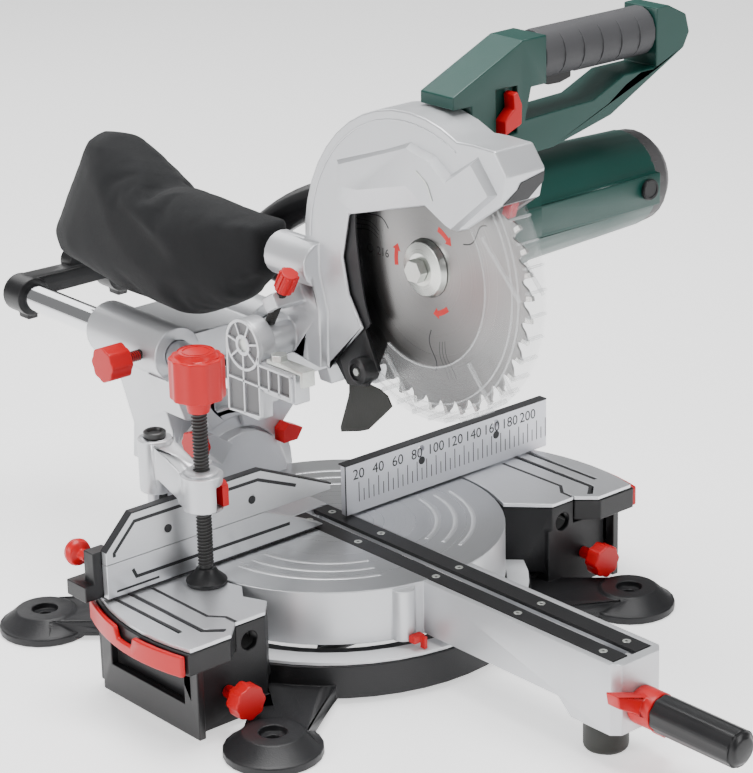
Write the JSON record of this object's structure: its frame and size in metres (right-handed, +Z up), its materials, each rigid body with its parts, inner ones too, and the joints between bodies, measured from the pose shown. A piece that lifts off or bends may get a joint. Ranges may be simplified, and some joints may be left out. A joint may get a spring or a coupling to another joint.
{
  "type": "sliding compound mitre saw",
  "caption": "Corded sliding compound mitre saw: blade head on rails over a turntable, with fences, side table extensions, hold-down clamp and dust bag.",
  "frame": {"origin": "centre of the outline's box on the bench, under the four feet", "axes": "X right along the fence, Y to the back along the slide rails, Z up"},
  "size_m": [0.472, 0.775, 0.469],
  "materials": {
    "black_cast": "matt black painted casting",
    "cast_silver": "silver paint over die-cast aluminium, slight sheen",
    "brushed_plate": "ground bright plate with fine lines along its length",
    "ruler_plate": "ground bright plate with black printed millimetre lines",
    "blade_steel": "circular grinding lines, printed arrows, bright carbide tips",
    "chrome_rail": "hard chrome tube",
    "zinc_steel": "zinc plated steel",
    "black_steel": "black oxide steel",
    "black_plastic": "moulded black plastic, fine texture",
    "grey_plastic": "moulded dark grey plastic with ribs",
    "black_rubber": "soft black rubber",
    "grip_rubber": "dark grey moulded grip rubber",
    "red_plastic": "moulded red plastic, semi gloss",
    "green_plastic": "moulded dark green plastic, fine texture",
    "white_scale": "white scale ring with dark printed divisions",
    "clear_plastic": "clear polycarbonate",
    "black_fabric": "black woven polyester with piped seams"
  },
  "bodies": {
    "base": {"base_casting": "black_cast", "mitre_scale": "white_scale", "table_plate_left": "brushed_plate", "table_plate_right": "brushed_plate", "fence_left": "brushed_plate", "fence_right": "ruler_plate"},
    "left_fence": {"fence_sliding": "brushed_plate", "fence_carrier": "black_plastic"},
    "left_fence_knob": {"fence_knob": "red_plastic"},
    "left_extension": {"extension_left": "black_plastic", "extension_plate_left": "brushed_plate", "bumper_left": "red_plastic"},
    "right_extension": {"extension_right": "black_plastic", "extension_plate_right": "brushed_plate", "bumper_right": "red_plastic"},
    "left_extension_knob": {"extension_knob_left": "red_plastic"},
    "right_extension_knob": {"extension_knob_right": "red_plastic"},
    "mitre_table": {"turntable": "cast_silver", "kerf_insert_left": "black_plastic", "kerf_insert_right": "black_plastic", "mitre_pointer": "red_plastic", "arm_foot": "black_rubber", "bevel_stop": "red_plastic"},
    "mitre_handle": {"mitre_knob": "black_plastic"},
    "detent": {"detent_lever": "red_plastic"},
    "tilting_arm": {"tilt_arm": "cast_silver", "bevel_pointer": "red_plastic"},
    "tilt_clamp": {"tilt_knob": "red_plastic"},
    "slide_clamp": {"slide_knob": "red_plastic"},
    "carriage": {"slide_rail_left": "chrome_rail", "slide_rail_right": "chrome_rail", "rail_bridge": "black_plastic", "head_carrier": "cast_silver", "pivot_pin": "zinc_steel"},
    "groove_stop": {"stop_plate": "zinc_steel"},
    "saw_head": {"upper_guard": "cast_silver", "chip_deflector": "black_plastic", "chip_flap_left": "black_rubber", "chip_flap_right": "black_rubber", "motor_housing": "green_plastic", "motor_cap": "grey_plastic", "brush_cap": "black_plastic", "handle": "green_plastic", "grip_sleeve": "grip_rubber", "carrying_handle": "black_plastic", "dust_bag": "black_fabric"},
    "depth_screw": {"depth_stop": "red_plastic"},
    "trigger": {"power_trigger": "black_plastic"},
    "guard_release": {"release_lever": "red_plastic"},
    "guard_cover": {"lower_guard": "clear_plastic"},
    "spindle": {"blade": "blade_steel", "arbor": "zinc_steel", "outer_flange": "zinc_steel", "blade_bolt": "zinc_steel"},
    "clamp": {"clamp_post": "black_steel", "clamp_arm": "cast_silver"},
    "clamp_release": {"clamp_button": "red_plastic"},
    "clamp_foot": {"clamp_pad": "black_plastic"},
    "clamp_screw": {"clamp_spindle": "black_steel", "clamp_knob": "red_plastic"}
  },
  "joints": [
    {"name": "mitre_swivel", "type": "hinge", "parent": "base", "child": "mitre_table", "pos_m": [-0.004, 0.0335, 0.06], "axis": [0, 0, -1], "range_deg": [-47, 47]},
    {"name": "bevel_tilt", "type": "hinge", "parent": "mitre_table", "child": "tilting_arm", "pos_m": [-0.004, 0.1735, 0.08], "axis": [0, -1, 0], "range_deg": [-2, 19]},
    {"name": "head_slide", "type": "slide", "parent": "tilting_arm", "child": "carriage", "axis": [0, 1, 0], "range_m": [-0.1, 0.07]},
    {"name": "head_chop", "type": "hinge", "parent": "carriage", "child": "saw_head", "pos_m": [-0.004, 0.0555, 0.235], "axis": [1, 0, 0], "range_deg": [0, 49.5], "stiffness_Nm_per_rad": 6, "springref_deg": -148.97},
    {"name": "blade_spin", "type": "hinge", "parent": "saw_head", "child": "spindle", "pos_m": [-0.004, -0.0785, 0.311], "axis": [1, 0, 0], "continuous": true},
    {"name": "guard_swing", "type": "hinge", "parent": "saw_head", "child": "guard_cover", "pos_m": [-0.004, -0.0785, 0.311], "axis": [1, 0, 0], "range_deg": [-120, 0]},
    {"name": "mitre_lock", "type": "hinge", "parent": "mitre_table", "child": "mitre_handle", "pos_m": [-0.004, -0.2915, 0.045], "axis": [0, 1, 0], "range_deg": [-180, 180]},
    {"name": "detent_press", "type": "hinge", "parent": "mitre_table", "child": "detent", "pos_m": [-0.004, -0.2915, 0.045], "axis": [0, 1, 0], "range_deg": [0, 10], "stiffness_Nm_per_rad": 3, "springref_deg": -5.73},
    {"name": "bevel_lock", "type": "hinge", "parent": "mitre_table", "child": "tilt_clamp", "pos_m": [-0.0485, 0.1395, 0.128], "axis": [1, 0, 0], "range_deg": [-180, 180]},
    {"name": "slide_lock", "type": "hinge", "parent": "tilting_arm", "child": "slide_clamp", "pos_m": [-0.0724, 0.1855, 0.195], "axis": [1, 0, 0], "range_deg": [-180, 180]},
    {"name": "depth_set", "type": "hinge", "parent": "saw_head", "child": "depth_screw", "pos_m": [-0.048, 0.0395, 0.267], "axis": [0, 0.5075, 0.8616], "range_deg": [-180, 180]},
    {"name": "groove_stop_turn", "type": "hinge", "parent": "carriage", "child": "groove_stop", "pos_m": [-0.0612, 0.0235, 0.228], "axis": [0, 0, 1], "range_deg": [0, 45]},
    {"name": "trigger_squeeze", "type": "hinge", "parent": "saw_head", "child": "trigger", "pos_m": [0.124, -0.0865, 0.444], "axis": [0, 1, 0], "range_deg": [0, 6], "stiffness_Nm_per_rad": 0.5, "springref_deg": -17.19},
    {"name": "guard_release_press", "type": "hinge", "parent": "saw_head", "child": "guard_release", "pos_m": [0.046, -0.0865, 0.408], "axis": [0, 1, 0], "range_deg": [-8, 0], "stiffness_Nm_per_rad": 0.5, "springref_deg": 11.46},
    {"name": "left_extension_slide", "type": "slide", "parent": "base", "child": "left_extension", "axis": [-1, 0, 0], "range_m": [0, 0.09]},
    {"name": "right_extension_slide", "type": "slide", "parent": "base", "child": "right_extension", "axis": [1, 0, 0], "range_m": [0, 0.09]},
    {"name": "left_extension_lock", "type": "hinge", "parent": "base", "child": "left_extension_knob", "pos_m": [-0.182, -0.0561, 0.03], "axis": [0, 1, 0], "range_deg": [-180, 180]},
    {"name": "right_extension_lock", "type": "hinge", "parent": "base", "child": "right_extension_knob", "pos_m": [0.174, -0.0561, 0.03], "axis": [0, 1, 0], "range_deg": [-180, 180]},
    {"name": "left_fence_slide", "type": "slide", "parent": "base", "child": "left_fence", "axis": [-1, 0, 0], "range_m": [0, 0.055]},
    {"name": "left_fence_lock", "type": "hinge", "parent": "left_fence", "child": "left_fence_knob", "pos_m": [-0.221, 0.0515, 0.111], "axis": [0, 1, 0], "range_deg": [-180, 180]},
    {"name": "clamp_swivel", "type": "hinge", "parent": "base", "child": "clamp", "pos_m": [-0.151, 0.0595, 0.14], "axis": [0, 0, -1], "range_deg": [-10, 16]},
    {"name": "clamp_lift", "type": "slide", "parent": "clamp", "child": "clamp_foot", "axis": [0, 0, 1], "range_m": [0, 0.045]},
    {"name": "clamp_turn", "type": "hinge", "parent": "clamp_foot", "child": "clamp_screw", "pos_m": [-0.1446, 0.0127, 0.093], "axis": [0, 0, 1], "range_deg": [-180, 180]},
    {"name": "clamp_release_press", "type": "slide", "parent": "clamp", "child": "clamp_release", "axis": [-1, 0, 0], "range_m": [0, 0.0015], "stiffness_N_per_m": 900, "springref_m": -0.001}
  ],
  "couplings": [
    {"joint": "guard_swing", "follows": "head_chop", "ratio": -2.4}
  ]
}
